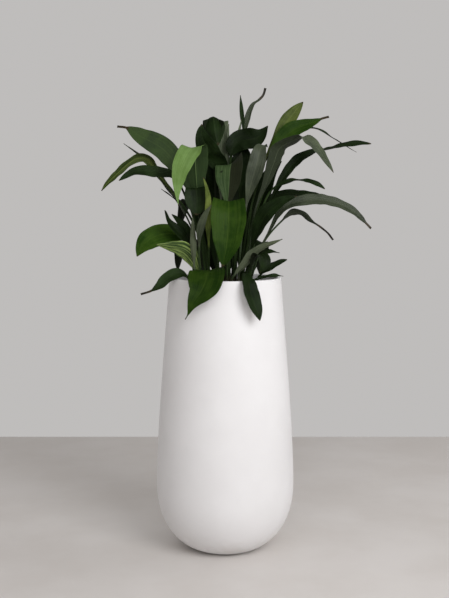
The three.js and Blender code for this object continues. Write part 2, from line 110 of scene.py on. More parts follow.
RIM_BAND = 12  # how far down the inside starts to follow the outside
POT_SIDES = 160
SOIL_SIDES = 150
# height of the soil's lumps, length of one radian, and shift
LUMPS = ((1.6, 19, 0.4), (1.1, 8.3, 2.1), (0.6, 3.9, 4.4), (0.35, 2.1, 1.2))
SOIL_EDGE_DEPTH = 4  # how far below the soil's top its wall ends
CRUMBS = 620
CRUMB_RADIUS = (1.2, 3.6)
CRUMB_FLATNESS = (0.6, 1.0)
CRUMB_MARGIN = 7  # between the crumbs and the wall

# ---- the leaves, as in the part's source -----------------------------------------

# root: where the stalk leaves the soil (x, y).
# spine: points that the midrib passes through, from above the soil to the tip; their
#        heights are measured from the planter's rim.
# blade: the spine point at which the blade starts; the stalk ends there.
# width: of the blade at its widest, which lies at the part `peak` of its length.
# taper: how fast the blade narrows to its tip; below 1 it stays full, above 1 it is drawn out.
# roll: turn of the blade about its midrib in degrees, from base to tip; positive lifts
#       the left edge as seen when looking out along the leaf.
# heading: compass direction of the arch in degrees from +X; root to tip if not given.
# tail: length of a thin dried end past the blade.
# fold: angle in degrees that each half of the blade rises from the midrib; wave: height of
#       the waves along its edges.
# tone: its look, in LEAF_LOOKS.
LEAVES = [
    # front: over the rim, and hanging down the face of the plant
    dict(root=(5, -75), blade=1, width=96, peak=0.6, heading=-90, tone="green",
         spine=[(6, -78, 80), (8, -84, 175), (9, -108, 216), (9, -130, 190), (8, -140, 150),
                (4, -147, 100), (-7, -152, 39)]),
    dict(root=(-30, -55), blade=1, width=100, peak=0.42, taper=1.7, heading=-98, fold=8,
         roll=[8, 8, 0, 0, 0], tone="green",
         spine=[(-35, -75, 13), (-44, -108, 27), (-48, -145, 24), (-54, -174, -2), (-67, -185, -29),
                (-81, -190, -47), (-91, -192, -65), (-98, -193, -83), (-107, -194, -99)]),
    dict(root=(42, -92), blade=1, width=48, peak=0.52, taper=0.7, tone="dark",
         spine=[(48, -112, 15), (55, -138, 18), (61, -158, 0), (68, -170, -30), (76, -178, -55),
                (85, -183, -78), (93, -186, -103)]),
    dict(root=(-45, -50), blade=1.8, width=72, peak=0.5, taper=1.3, fold=0, heading=-98,
         roll=[0, 0, 12, 8, 0], tone="bright",
         spine=[(-60, -64, 100), (-72, -76, 200), (-79, -88, 280), (-82, -98, 335), (-86, -111, 360),
                (-101, -122, 345), (-113, -129, 320), (-121, -133, 298), (-127, -136, 262),
                (-129, -137, 230), (-126, -137, 202)]),
    dict(root=(-52, -72), blade=1.2, width=68, peak=0.75, taper=0.7, heading=-90, tone="dark",
         spine=[(-64, -80, 100), (-74, -86, 200), (-80, -97, 253), (-77, -109, 220), (-78, -115, 177)]),
    dict(root=(14, -42), blade=1.5, width=90, peak=0.7, heading=90, roll=[0, 0, -30, -34], fold=12,
         tone="halved",
         spine=[(8, -48, 100), (5, -52, 180), (9, -54, 240), (12, -54, 288), (15, -50, 312),
                (18, -43, 320), (24, -36, 308), (30, -33, 290), (35, -32, 270)]),
    dict(root=(36, -60), blade=1.8, width=48, peak=0.6, heading=90, tone="slate",
         spine=[(44, -60, 100), (58, -60, 200), (72, -60, 265), (87, -58, 318), (97, -50, 358),
                (106, -38, 370), (118, -24, 366)]),
    dict(root=(-46, -62), blade=1, width=20, heading=180, roll=[-70], tone="olive",
         spine=[(-45, -92, 90), (-48, -120, 170), (-46, -129, 212), (-50, -134, 248), (-59, -138, 279)]),
    dict(root=(-60, -84), blade=2, width=22, heading=60, roll=[40], tone="slate",
         spine=[(-70, -90, 30), (-71, -108, 90), (-69, -128, 135), (-54, -138, 180), (-37, -144, 205)]),
    dict(root=(-74, -96), blade=1, width=18, heading=-90, tone="pale",
         spine=[(-84, -104, 30), (-87, -112, 90), (-88, -116, 130), (-89, -118, 175)]),

    # left side
    dict(root=(-40, -8), blade=1.8, width=66, peak=0.6, taper=0.6, roll=[-65], tail=27, tone="green",
         spine=[(-58, -4, 100), (-85, 2, 210), (-120, 8, 288), (-156, 14, 340), (-182, 20, 366),
                (-213, 26, 384), (-239, 31, 398), (-261, 35, 412), (-281, 38, 423), (-308, 42, 427)]),
    dict(root=(-44, 38), blade=2.4, width=33, peak=0.55, taper=0.7, roll=[-40, -60], fold=8,
         tone="streaked",
         spine=[(-76, 42, 120), (-117, 44, 198), (-148, 46, 236), (-177, 48, 273), (-203, 50, 307),
                (-226, 51, 335), (-250, 52, 337), (-274, 53, 325), (-295, 54, 308), (-317, 55, 288),
                (-340, 56, 266), (-357, 57, 245)]),
    dict(root=(-62, 54), blade=1.4, width=17, peak=0.4, roll=[-40], tone="slate",
         spine=[(-98, 64, 140), (-150, 72, 232), (-206, 80, 302), (-234, 84, 337), (-262, 87, 358),
                (-295, 90, 382)]),
    dict(root=(-52, -40), blade=2, width=33, peak=0.55, taper=0.7, roll=[-65], tone="dark",
         spine=[(-78, -40, 140), (-112, -44, 232), (-136, -48, 277), (-152, -50, 289), (-170, -51, 293),
                (-201, -53, 296), (-229, -54, 299), (-251, -56, 297), (-272, -58, 286), (-294, -60, 272)]),
    dict(root=(-44, 10), blade=1.5, width=12, roll=[-20], tone="dark",
         spine=[(-70, 6, 100), (-100, 4, 170), (-138, 2, 216), (-181, 0, 250)]),
    dict(root=(-84, -46), blade=1, width=34, taper=0.65, roll=[-60], tone="dark",
         spine=[(-92, -60, 50), (-101, -71, 85), (-115, -78, 115), (-136, -83, 137), (-157, -86, 162),
                (-166, -88, 191)]),
    dict(root=(-74, -34), blade=1, width=32, taper=0.7, roll=[-60], tone="dark",
         spine=[(-84, -44, 60), (-97, -47, 95), (-108, -49, 132), (-127, -50, 157), (-149, -50, 179)]),
    dict(root=(-62, -22), blade=1.2, width=68, peak=0.6, roll=[-60], fold=6, tone="green",
         spine=[(-80, -26, 60), (-96, -32, 98), (-110, -36, 114), (-128, -40, 121), (-160, -46, 125),
                (-196, -52, 116), (-220, -56, 102), (-234, -58, 85), (-246, -60, 62)]),
    dict(root=(-68, -74), blade=0.7, width=56, peak=0.42, roll=[50], fold=6, tone="striped",
         spine=[(-74, -78, 22), (-83, -81, 41), (-94, -86, 61), (-111, -90, 78), (-131, -94, 87),
                (-159, -97, 92), (-190, -99, 97)]),
    dict(root=(-94, -58), blade=0.5, width=38, peak=0.48, roll=[-50], tail=28, tone="dark",
         spine=[(-104, -66, 3), (-118, -72, 13), (-136, -77, 14), (-158, -82, 4), (-181, -87, -17),
                (-205, -91, -32), (-233, -95, -41)]),

    # crown
    dict(root=(-18, -2), blade=1.6, width=62, peak=0.78, heading=-90, fold=-36, tone="dark",
         spine=[(-22, -4, 100), (-28, -5, 250), (-32, -8, 390), (-33, -22, 450), (-31, -38, 428),
                (-27, -47, 398), (-20, -52, 368)]),
    dict(root=(-8, -18), blade=2.3, width=62, peak=0.58, heading=90, tone="dark",
         spine=[(2, -14, 120), (8, -14, 218), (1, -15, 273), (-12, -20, 311), (-27, -36, 336),
                (-42, -58, 352), (-55, -69, 371), (-63, -74, 390), (-66, -76, 408), (-64, -77, 425)]),
    dict(root=(-8, 26), blade=1.2, width=40, peak=0.55, heading=90, tone="pale",
         spine=[(-10, 26, 150), (-13, 28, 350), (-9, 30, 400), (-7, 36, 440), (-4, 56, 438),
                (-2, 76, 410), (0, 86, 384)]),
    dict(root=(4, 12), blade=1.4, width=12, heading=90, tone="pale",
         spine=[(4, 17, 200), (6, 19, 350), (10, 19, 432)]),
    dict(root=(12, -5), blade=3.4, width=68, peak=0.42, heading=0, roll=[70], wave=7, tone="dark",
         spine=[(13, 0, 100), (15, 4, 250), (14, 6, 322), (20, 6, 357), (36, 6, 379), (59, 6, 387),
                (82, 5, 391), (102, 3, 402), (120, 0, 426)]),
    dict(root=(30, 25), blade=2.8, width=13, peak=0.5, heading=90, tone="dark",
         spine=[(38, 30, 200), (47, 32, 320), (51, 34, 422), (47, 35, 465), (43, 35, 514)]),
    dict(root=(26, 42), blade=2.6, width=17, peak=0.5, heading=0, roll=[70], tail=34, tone="slate",
         spine=[(36, 45, 200), (49, 47, 330), (58, 49, 420), (64, 50, 450), (71, 51, 474),
                (81, 53, 492), (96, 56, 503), (109, 58, 517), (115, 60, 537)]),
    dict(root=(20, 20), blade=1, width=16, heading=90, tone="pale",
         spine=[(28, 24, 250), (34, 27, 380), (46, 28, 446)]),

    # right side
    dict(root=(40, 14), blade=2.3, width=42, peak=0.7, taper=0.8, roll=[70], tone="olive",
         spine=[(62, 22, 140), (90, 28, 260), (122, 36, 352), (156, 44, 408), (176, 50, 440),
                (199, 56, 470), (223, 62, 498)]),
    dict(root=(44, 0), blade=2, width=50, peak=0.62, roll=[65], tail=20, tone="green",
         spine=[(74, 3, 140), (110, 6, 250), (124, 8, 296), (134, 10, 332), (145, 12, 360),
                (158, 14, 382), (174, 16, 401), (192, 18, 415), (212, 20, 424), (233, 21, 431),
                (254, 22, 439), (275, 24, 448), (294, 26, 453)]),
    dict(root=(50, 32), blade=1.6, width=20, roll=[15], tone="dark",
         spine=[(88, 44, 260), (135, 56, 362), (195, 68, 412), (258, 76, 424), (311, 80, 397),
                (362, 83, 367), (381, 84, 357)]),
    dict(root=(56, -22), blade=0.9, width=60, peak=0.56, taper=0.75, fold=4, heading=-50, tone="slate",
         spine=[(84, -26, 190), (116, -30, 270), (135, -34, 322), (151, -38, 361), (185, -44, 381),
                (217, -52, 392), (238, -60, 376), (256, -68, 356), (277, -80, 324), (296, -90, 293)]),
    dict(root=(60, -8), blade=1.5, width=31, taper=0.5, roll=[60, 60, 60, 60, 50, 14, 20, 50, 60],
         tone="dark",
         spine=[(87, -10, 140), (134, -9, 228), (179, -3, 304), (210, 1, 335), (247, 5, 352),
                (292, 8, 361), (337, 10, 372), (377, 12, 378), (413, 14, 377)]),
    dict(root=(66, -42), blade=1.9, width=22, taper=0.5, roll=[60, 45, 8, 50, 60], tone="dark",
         spine=[(92, -46, 160), (126, -50, 243), (156, -50, 262), (188, -50, 272), (235, -50, 269),
                (256, -50, 262), (277, -50, 249)]),
    dict(root=(64, -30), blade=1.3, width=34, peak=0.58, taper=0.5, roll=[60], tail=18, tone="slate",
         spine=[(86, -29, 62), (109, -28, 103), (134, -28, 150), (145, -27, 172), (164, -27, 195),
                (184, -26, 208), (216, -26, 216), (244, -25, 219), (268, -25, 219), (300, -24, 213),
                (332, -22, 202), (364, -20, 184), (395, -18, 155), (411, -17, 138)]),
    dict(root=(54, 20), blade=1.2, width=30, roll=[50], tone="dark",
         spine=[(90, 24, 145), (129, 28, 218), (168, 30, 234), (218, 32, 235), (265, 34, 231),
                (299, 36, 221)]),
    dict(root=(52, -58), blade=1, width=54, roll=[55], tone="dark",
         spine=[(72, -66, 80), (92, -72, 138), (112, -76, 177), (137, -78, 200), (162, -80, 217),
                (196, -80, 229)]),
    dict(root=(70, -8), blade=2, width=22, peak=0.4, roll=[-50], tail=60, tone="slate",
         spine=[(110, -5, 100), (158, -4, 158), (192, -3, 183), (217, -2, 180), (241, 0, 161),
                (270, 2, 142), (291, 4, 125), (307, 6, 105)]),
    dict(root=(12, -96), blade=1, width=30, peak=0.35, roll=[-60], tone="pale",
         spine=[(24, -100, 12), (48, -98, 36), (66, -94, 58), (84, -90, 76), (106, -86, 90),
                (134, -82, 101), (158, -78, 111)]),
    dict(root=(56, -70), blade=1, width=20, roll=[30], tone="dark",
         spine=[(74, -66, 47), (97, -62, 71), (122, -61, 75), (152, -60, 72)]),
    dict(root=(66, -84), blade=0.6, width=46, peak=0.6, tone="dark",
         spine=[(74, -96, 46), (89, -107, 70), (102, -116, 64), (104, -122, 42), (94, -124, 22)]),
    dict(root=(84, -52), blade=1, width=20, taper=0.6, roll=[60], tone="dark",
         spine=[(95, -52, 6), (112, -52, 22), (138, -52, 38), (156, -53, 47), (173, -54, 53)]),
    dict(root=(62, -108), blade=1, width=13, roll=[45], tone="dark",
         spine=[(74, -106, -4), (92, -100, 4), (114, -90, 8), (138, -76, 10), (162, -58, 7)]),
    dict(root=(60, 44), blade=0.5, width=66, roll=[60], tone="dark",
         spine=[(76, 56, 150), (104, 62, 235), (132, 66, 295), (163, 68, 330)]),

    # back
    dict(root=(0, 60), blade=0.2, width=85, peak=0.38, heading=90, tone="dark",
         spine=[(0, 84, 150), (4, 122, 300), (6, 168, 345), (8, 230, 320), (10, 300, 240)]),
    dict(root=(25, 70), blade=0.3, width=70, peak=0.4, tone="dark",
         spine=[(32, 90, 130), (44, 120, 230), (62, 170, 278), (84, 235, 250), (105, 300, 175)]),
    dict(root=(-22, 72), blade=0.2, width=75, peak=0.38, tone="dark",
         spine=[(-30, 90, 150), (-42, 125, 250), (-58, 175, 290), (-78, 235, 260), (-95, 290, 185)]),
    dict(root=(50, 62), blade=0.3, width=60, peak=0.4, tone="dark",
         spine=[(62, 80, 100), (78, 105, 200), (96, 140, 245), (112, 180, 220), (124, 215, 160)]),
    dict(root=(-50, 54), blade=0.4, width=56, peak=0.52, tone="dark",
         spine=[(-64, 68, 100), (-84, 90, 185), (-105, 118, 215), (-124, 148, 185), (-138, 176, 130)]),
    dict(root=(10, 98), blade=0.3, width=80, peak=0.4, tone="dark",
         spine=[(14, 116, 60), (18, 145, 115), (22, 185, 125), (27, 230, 90), (30, 262, 20)]),
    dict(root=(-30, 95), blade=0.3, width=72, peak=0.4, tone="dark",
         spine=[(-38, 112, 50), (-50, 142, 90), (-60, 180, 90), (-68, 215, 50), (-72, 240, -10)]),
    dict(root=(45, 86), blade=0.3, width=62, peak=0.4, tone="dark",
         spine=[(56, 102, 40), (74, 130, 70), (92, 160, 65), (104, 190, 30), (110, 212, -20)]),
    dict(root=(-74, 66), blade=0.6, width=46, tone="dark",
         spine=[(-90, 78, 45), (-110, 96, 85), (-125, 116, 85), (-136, 134, 50), (-142, 148, 5)]),
    dict(root=(75, 56), blade=0.3, width=40, peak=0.4, tone="dark",
         spine=[(86, 68, 40), (98, 82, 85), (110, 100, 95), (118, 116, 75), (122, 130, 40)]),
    dict(root=(20, 54), blade=0.8, width=56, tone="dark",
         spine=[(26, 63, 150), (36, 72, 280), (46, 84, 335), (56, 100, 345), (66, 118, 330)]),
    dict(root=(-25, 40), blade=0.2, width=60, peak=0.36, tone="dark",
         spine=[(-28, 46, 150), (-34, 58, 300), (-44, 85, 390), (-56, 125, 385), (-70, 170, 325)]),
    dict(root=(24, 8), blade=0.6, width=76, peak=0.66, heading=90, tone="dark",
         spine=[(34, 15, 150), (42, 20, 250), (48, 23, 330), (50, 25, 384)]),
    dict(root=(2, 40), blade=0.3, width=40, heading=90, tone="dark",
         spine=[(3, 42, 60), (4, 44, 120), (5, 46, 180)]),
]

# how much lighter or darker a leaf is than the look of its tone, by its number: partly its own tone and
# partly painted light and shade, such as the painted highlights on leaves 20 and 32
LEAF_TONE_AND_LIGHT = {1: 0.86, 2: 0.70, 3: 0.8, 7: 0.9, 8: 1.4, 11: 1.15, 14: 1.2, 18: 1.1, 20: 1.6,
          25: 0.7, 32: 1.45, 33: 0.8, 35: 0.85, 40: 0.8, 42: 0.8}
# how far a leaf's colour is greyed as a painted sheen, a broad reflection, by its number
PAINTED_SHEEN = {11: 0.36}

# ---- curves ----------------------------------------------------------------------


def smooth_step(value, low, high):
    """0 below `low`, 1 above `high`, and an S-shaped curve between them."""
    t = np.clip((value - low) / (high - low), 0, 1)
    return t * t * (3 - 2 * t)


def mixed(low, high, t):
    """`low` where t is 0, `high` where it is 1, and evenly between them."""
    return low + (high - low) * t


def unit(vectors):
    return vectors / np.linalg.norm(vectors, axis=-1, keepdims=True)


def midrib(points):
    """Points along the centripetal Catmull-Rom curve through `points`."""
    points = np.asarray(points, float)
    before, after = 2 * points[0] - points[1], 2 * points[-1] - points[-2]
    held = np.vstack([before, points, after])
    t = (np.arange(SPAN_DIVISIONS) / SPAN_DIVISIONS)[:, None]
    spans = []
    for p0, p1, p2, p3 in zip(held, held[1:], held[2:], held[3:]):
        d0, d1, d2 = (np.linalg.norm(b - a) ** 0.5 for a, b in ((p0, p1), (p1, p2), (p2, p3)))
        leave = ((p1 - p0) / d0 - (p2 - p0) / (d0 + d1) + (p2 - p1) / d1) * d1
        arrive = ((p2 - p1) / d1 - (p3 - p1) / (d1 + d2) + (p3 - p2) / d2) * d1
        spans.append(
            (2 * t**3 - 3 * t**2 + 1) * p1
            + (t**3 - 2 * t**2 + t) * leave
            + (3 * t**2 - 2 * t**3) * p2
            + (t**3 - t**2) * arrive
        )
    return np.vstack([*spans, points[-1:]])


def at_length(curve, lengths, wanted):
    """Points of the curve at the wanted lengths along it."""
    return np.stack([np.interp(wanted, lengths, curve[:, k]) for k in range(3)], -1)


def blade_shape(t, peak, taper):
    """Share of the full width at the part t of the blade's length."""
    place = t ** (math.log(0.5) / math.log(peak))
    slimness = np.where(place < 0.5, BASE_SLIMNESS, taper)
    return np.maximum(np.sin(np.pi * place), 0) ** slimness


def along(values, t):
    """Value at the part t along a list that is spread evenly over 0..1."""
    return np.interp(t, np.linspace(0, 1, len(values)), values) if len(values) > 1 else values[0]


def turned_about(vectors, axes, angles):
    """The vectors turned about unit axes at right angles to them."""
    angles = np.asarray(angles)[..., None]
    return vectors * np.cos(angles) + np.cross(axes, vectors) * np.sin(angles)


# ---- meshes ----------------------------------------------------------------------


def new_piece(name, verts, faces, node, material):
    """A smooth mesh piece, in millimetres, that stands for a CAD node."""
    mesh = bpy.data.meshes.new(name)
    mesh.from_pydata((np.asarray(verts) * MM).tolist(), [], faces)
    mesh.shade_smooth()
    piece = bpy.data.objects.new(name, mesh)
    bpy.context.collection.objects.link(piece)
    mesh.materials.append(material)
    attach(piece, BODY)
    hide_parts(node)
    return piece


def keep_vectors(piece, name, *parts):
    """Stores a vector on each vertex, for the materials to read."""
    attribute = piece.data.attributes.new(name, "FLOAT_VECTOR", "POINT")
    vectors = np.stack(np.broadcast_arrays(*parts), -1)
    attribute.data.foreach_set("vector", vectors.astype(np.float32).ravel())


def ring_faces(rings, around):
    """Faces of a closed tube of `rings` rings of `around` points each."""
    faces = []
    for i in range(rings - 1):
        near, far = i * around, (i + 1) * around
        for j in range(around):
            k = (j + 1) % around
            faces.append((near + j, far + j, far + k, near + k))
    faces.append(tuple(range(around)))
    faces.append(tuple(range(rings * around - 1, (rings - 1) * around - 1, -1)))
    return faces


# ---- leaf ------------------------------------------------------------------------


def leaf_stations(leaf, lengths):
    """Lengths at which the leaf's sections stand, and those of the blade's start and end."""
    total = lengths[-1]
    start = lengths[round(SPAN_DIVISIONS * leaf["blade"])]
    end = total - leaf.get("tail", 0)
    stalk = np.linspace(0, start, max(MIN_STALK, round(start / STALK_STEP)), endpoint=False)
    blade = np.linspace(start, end, max(MIN_BLADE, round((end - start) / STATION_STEP)))
    tail = np.linspace(end, total, max(MIN_TAIL, round((total - end) / STATION_STEP) + 1))[1:]
    return np.concatenate([stalk, blade, tail if total > end else []]), start, end


def leaf_frames(leaf, curve, lengths, places, t):
    """The middle of each section and its directions to the side and up, from the foot of the
    peg in the soil to the tip."""
    root, tip = leaf["root"], leaf["spine"][-1]
    heading = math.atan2(tip[1] - root[1], tip[0] - root[0])
    if "heading" in leaf:
        heading = math.radians(leaf["heading"])
    across = np.array([-math.sin(heading), math.cos(heading), 0])
    centre = at_length(curve, lengths, places)
    reach = 0.002 * lengths[-1]
    forward = unit(at_length(curve, lengths, places + reach) - at_length(curve, lengths, places - reach))
    side = unit(across - forward * (forward @ across)[:, None])
    roll = np.radians(along(leaf.get("roll", [0]), t)) * np.ones(len(t))
    side = turned_about(side, forward, roll)
    up = np.cross(forward, side)

    peg = (*root, SOIL_HEIGHT - ROOT_DEPTH)
    peg_up = np.cross((0, 0, 1), across)
    return np.vstack([peg, centre]), np.vstack([across, side]), np.vstack([peg_up, up])


def leaf_sections(leaf, places, t, rng):
    """The places u across the leaf, -1 at its left edge and 1 at its right edge, the half width
    of each section, and how far its upper and lower faces lie above the midrib."""
    width = leaf["width"]
    wave, fold = leaf.get("wave", WAVE), math.radians(leaf.get("fold", FOLD))
    swell = 1 + SHEATH_SWELL * np.exp(-np.maximum(places, 0) / SHEATH_HEIGHT)
    phases = rng.uniform(0, 6, len(UNEVENNESS))
    uneven = 1 + sum(
        share * np.sin(places / length + phase) for (share, length), phase in zip(UNEVENNESS, phases)
    )
    shape = blade_shape(t, leaf.get("peak", PEAK), leaf.get("taper", TIP_SLIMNESS))
    tip_half = (TAIL_WIDTH if "tail" in leaf else TIP_WIDTH) / 2
    least = mixed(STALK_RADIUS * STALK_WIDTH * swell, tip_half, t)
    half = np.maximum(width * shape / 2 * uneven, least)[:, None]
    fullness = half / width * 2

    count = max(MIN_COLUMNS, round(width / COLUMN_STEP) | 1)
    even = np.linspace(-1, 1, count)
    u = mixed(even, np.sin(even * np.pi / 2), 0.5)[None, :]
    t, places, swell = t[:, None], places[:, None], swell[:, None]
    flat = smooth_step(t, 0, OPENING)

    lift = np.abs(u) ** 1.5 * half * math.tan(fold) * flat
    sway = u * wave * np.sin(2 * WAVES * np.pi * t + leaf["root"][0]) * fullness
    pleat_count = np.round(width / 2 / PLEAT_WIDTH)
    pleats = PLEAT_HEIGHT * np.cos(2 * np.pi * pleat_count * np.abs(u)) * (1 - u**4) * fullness
    pleats = pleats * (half > STALK_RADIUS * 2)
    turn = 2 * np.pi * places / RIPPLE_LENGTH + rng.uniform(0, 6)
    ripple = np.sin(turn + np.sign(u) + np.sin(turn / 3.1)) * np.abs(u) ** 3
    middle = lift + sway + (pleats + RIPPLE_HEIGHT * ripple * fullness) * flat

    stalk = STALK_RADIUS * swell * np.sqrt(np.maximum(1 - u**2, 0))
    thin = EDGE_HALF + (BLADE_HALF - EDGE_HALF) * (1 - u**6)
    rib_depth = np.maximum(STALK_RADIUS * (1 - RIB_THINNING * t), RIB_DEPTH)
    rib = np.exp(-((u * half / RIB_WIDTH) ** 2)) * rib_depth
    groove = np.exp(-((u * half / GROOVE_WIDTH) ** 2)) * GROOVE_DEPTH
    above = mixed(STALK_UPPER * stalk + STALK_HALF, thin - groove, flat)
    below = mixed(stalk + STALK_HALF, thin + rib, flat)
    return u[0], half, middle + above, middle - below


def make_leaf(number, leaf, material):
    """A leaf in one piece: the peg in the soil, the stalk, the blade and its dried tail."""
    rng = np.random.default_rng(number)
    collar = (*leaf["root"], SOIL_HEIGHT + COLLAR_HEIGHT)
    curve = midrib([collar, *((x, y, POT_HEIGHT + z) for x, y, z in leaf["spine"])])
    lengths = np.concatenate([[0], np.cumsum(np.linalg.norm(np.diff(curve, axis=0), axis=1))])
    places, start, end = leaf_stations(leaf, lengths)
    t = np.clip((places - start) / (end - start), 0, 1)
    centre, side, up = leaf_frames(leaf, curve, lengths, places, t)
    places = np.concatenate([[-ROOT_DEPTH - COLLAR_HEIGHT], places])
    t = np.concatenate([[0], t])
    u, half, upper, lower = leaf_sections(leaf, places, t, rng)

    # each ring runs over the upper face to the right and back over the lower face
    u = np.concatenate([u, u[::-1]])
    face = np.repeat([1, -1], len(u) // 2)
    rise = np.hstack([upper, lower[:, ::-1]])
    rings = centre[:, None] + side[:, None] * (u * half)[..., None] + up[:, None] * rise[..., None]
    name = f"leaf_{number:02d}"
    piece = new_piece(f"fine_{name}", rings.reshape(-1, 3), ring_faces(len(t), len(u)), name,
                      material)

    # for the material: where each point lies across the blade, along it and on which face; its
    # millimetres from the midrib and from the soil, with a number that differs from leaf to
    # leaf; and the leaf's brightness, partly painted light and shade, and its painted sheen
    place = ((places - start) / (end - start))[:, None]
    keep_vectors(piece, "leaf_place", u, place, face)
    keep_vectors(piece, "leaf_size", u * half, places[:, None], number)
    shade, painted_sheen = LEAF_TONE_AND_LIGHT.get(number, 1.0), PAINTED_SHEEN.get(number, 0.0)
    keep_vectors(piece, "leaf_shade", np.full(u.shape, shade), np.full(place.shape, painted_sheen), 0)


# ---- planter and soil ------------------------------------------------------------


def bezier(points, steps):
    """Points along the cubic curve with the four control points."""
    p0, p1, p2, p3 = (np.array(p, float) for p in points)
    t = np.linspace(0, 1, steps)[:, None]
    return (1 - t) ** 3 * p0 + 3 * (1 - t) ** 2 * t * p1 + 3 * (1 - t) * t**2 * p2 + t**3 * p3


# (radius, height) of the planter's outside, from its foot to the belly and on to the rim
FOOT_CURVE = [(FOOT_RADIUS, 0), (FOOT_RADIUS + 51, 9), (BELLY_RADIUS, 67), (BELLY_RADIUS, BELLY_HEIGHT)]
WALL_CURVE = [(BELLY_RADIUS, BELLY_HEIGHT), (BELLY_RADIUS, BELLY_HEIGHT + 138),
              (RIM_RADIUS + 18, POT_HEIGHT - 233), (RIM_RADIUS, POT_HEIGHT)]
OUTSIDE = np.vstack([bezier(FOOT_CURVE, 26), bezier(WALL_CURVE, 40)[1:]])


def outer_radius(height):
    return np.interp(height, OUTSIDE[:, 1], OUTSIDE[:, 0])


def turned(profile, sides):
    """Points and faces of a closed profile turned about Z; both its ends lie on the axis."""
    angle = np.arange(sides) * 2 * np.pi / sides
    middle = np.asarray(profile[1:-1])
    rings = np.stack([
        middle[:, :1] * np.cos(angle),
        middle[:, :1] * np.sin(angle),
        np.broadcast_to(middle[:, 1:], (len(middle), sides)),
    ], -1)
    verts = np.vstack([rings.reshape(-1, 3), (0, 0, profile[0][1]), (0, 0, profile[-1][1])])
    faces = []
    for i in range(len(middle) - 1):
        low, high = i * sides, (i + 1) * sides
        for j in range(sides):
            k = (j + 1) % sides
            faces.append((low + j, low + k, high + k, high + j))
    bottom, top = len(verts) - 2, len(verts) - 1
    last = (len(middle) - 1) * sides
    for j in range(sides):
        k = (j + 1) % sides
        faces.append((bottom, k, j))
        faces.append((last + j, last + k, top))
    return verts, faces


def make_pot(material):
    """The planter: its outside, a rounded rim, and an even wall down to its floor."""
    level = POT_HEIGHT - RIM_ROUND
    outer, inner = RIM_RADIUS - RIM_ROUND, RIM_RADIUS - WALL + RIM_ROUND
    turn = np.linspace(0, np.pi / 2, 7)
    rim = [(outer + RIM_ROUND * math.cos(a), level + RIM_ROUND * math.sin(a)) for a in turn]
    rim += [(inner - RIM_ROUND * math.sin(a), level + RIM_ROUND * math.cos(a)) for a in turn]
    outside = [tuple(p) for p in OUTSIDE if p[1] < level - 1]
    inside = [(outer_radius(z) - WALL, z) for z in np.linspace(POT_HEIGHT - RIM_BAND, POT_FLOOR, 26)]
    verts, faces = turned([(0, 0), *outside, *rim, *inside, (0, POT_FLOOR)], POT_SIDES)
    new_piece("planter", verts, faces, "pot", material)


def soil_top(x, y):
    """Height of the soil: a low mound with lumps of several sizes."""
    mound = SOIL_MOUND * (1 - (np.hypot(x, y) / RIM_RADIUS) ** 2)
    lumps = sum(
        height * np.sin(x / length + shift) * np.sin(y / (0.8 * length) + 1.7 * shift)
        for height, length, shift in LUMPS
    )
    return SOIL_HEIGHT + mound + lumps


def make_soil(material):
    """The soil down to the planter's floor, with its top in even rings."""
    bottom = POT_FLOOR + FLOOR_GAP
    levels = np.linspace(bottom, SOIL_HEIGHT - SOIL_EDGE_DEPTH, 30)
    wall = [(outer_radius(z) - WALL - SOIL_GAP, z) for z in levels]
    edge = wall[-1][0]
    top = [(edge * part, SOIL_HEIGHT) for part in np.linspace(1, 0.02, 60)]
    verts, faces = turned([(0, bottom), *wall, *top, (0, SOIL_HEIGHT)], SOIL_SIDES)
    on_top = verts[:, 2] > SOIL_HEIGHT - 1
    verts[on_top, 2] = soil_top(verts[on_top, 0], verts[on_top, 1])
    new_piece("potting_soil", verts, faces, "soil", material)


def make_crumbs(material):
    """Loose crumbs of soil and bark lying on the soil."""
    rng = np.random.default_rng(11)
    ball = bmesh.new()
    bmesh.ops.create_icosphere(ball, subdivisions=2, radius=1)
    shape = np.array([v.co for v in ball.verts])
    shape_faces = np.array([[v.index for v in f.verts] for f in ball.faces])
    ball.free()
    verts, faces = [], []
    reach = outer_radius(SOIL_HEIGHT) - WALL - CRUMB_MARGIN
    for _ in range(CRUMBS):
        radius, angle = reach * math.sqrt(rng.uniform()), rng.uniform(0, 2 * math.pi)
        x, y = radius * math.cos(angle), radius * math.sin(angle)
        size = rng.uniform(*CRUMB_RADIUS) * rng.uniform(*CRUMB_FLATNESS, 3)
        lump = shape * size * (1 + 0.18 * np.sin(shape @ rng.uniform(-4, 4, (3, 3)))[:, :1])
        spin = rng.uniform(0, 2 * math.pi)
        turn = np.array([
            [math.cos(spin), -math.sin(spin), 0],
            [math.sin(spin), math.cos(spin), 0],
            [0, 0, 1],
        ])
        faces.extend((shape_faces + len(verts) * len(shape)).tolist())
        verts.append(lump @ turn.T + (x, y, soil_top(x, y) + 0.3 * size[2]))
    new_piece("soil_crumbs", np.vstack(verts), faces, "soil", material)


# ---- materials -------------------------------------------------------------------

MIX_INPUTS = (0, 6, 7)  # the factor and the two colours of a colour mix node
MIX_RESULT = 2


